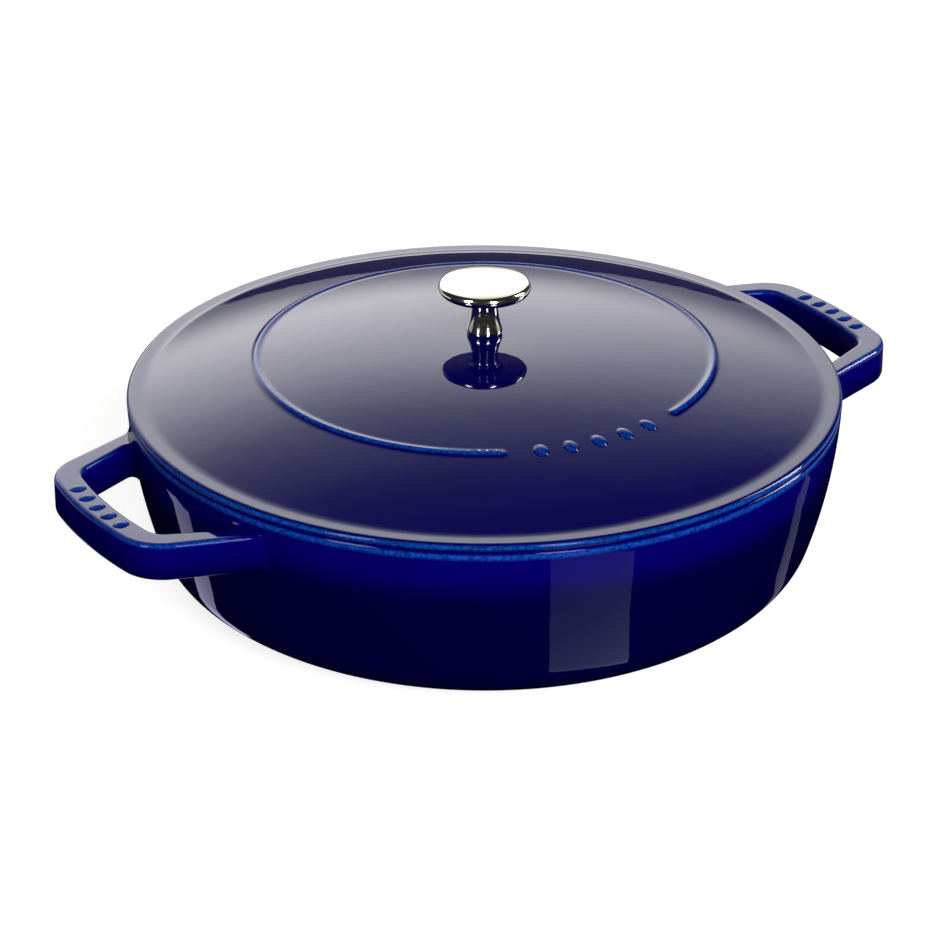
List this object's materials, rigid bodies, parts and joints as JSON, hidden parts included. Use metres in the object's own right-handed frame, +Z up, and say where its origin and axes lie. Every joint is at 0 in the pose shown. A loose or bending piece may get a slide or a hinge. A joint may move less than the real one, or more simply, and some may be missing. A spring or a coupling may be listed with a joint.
{
  "type": "braiser",
  "caption": "Shallow round enamelled cast-iron braiser with loop handles cast on the pan and a domed lid that lifts off by a polished mushroom knob.",
  "frame": {"origin": "middle of the pan's flat base, on the surface that it stands on", "axes": "+Z up, +X along the two handles, -Y towards the gap in the lid's raised ring"},
  "size_m": [0.362, 0.288, 0.1274],
  "materials": {
    "blue_enamel_pan": "glossy dark blue glass enamel outside, matt black enamel inside",
    "blue_enamel_lid": "glossy dark blue glass enamel on top, matt black enamel below",
    "polished_knob": "mirror-polished nickel-plated steel",
    "fastener_steel": "plain stainless steel"
  },
  "bodies": {
    "pan": {"pan": "blue_enamel_pan"},
    "lid": {"lid": "blue_enamel_lid", "knob": "polished_knob", "knob_screw": "fastener_steel", "flat_washer": "fastener_steel", "spring_washer": "fastener_steel"}
  },
  "joints": [
    {"name": "lid_lift", "type": "slide", "parent": "pan", "child": "lid", "axis": [0, 0, 1], "range_m": [0, 0.15]}
  ]
}
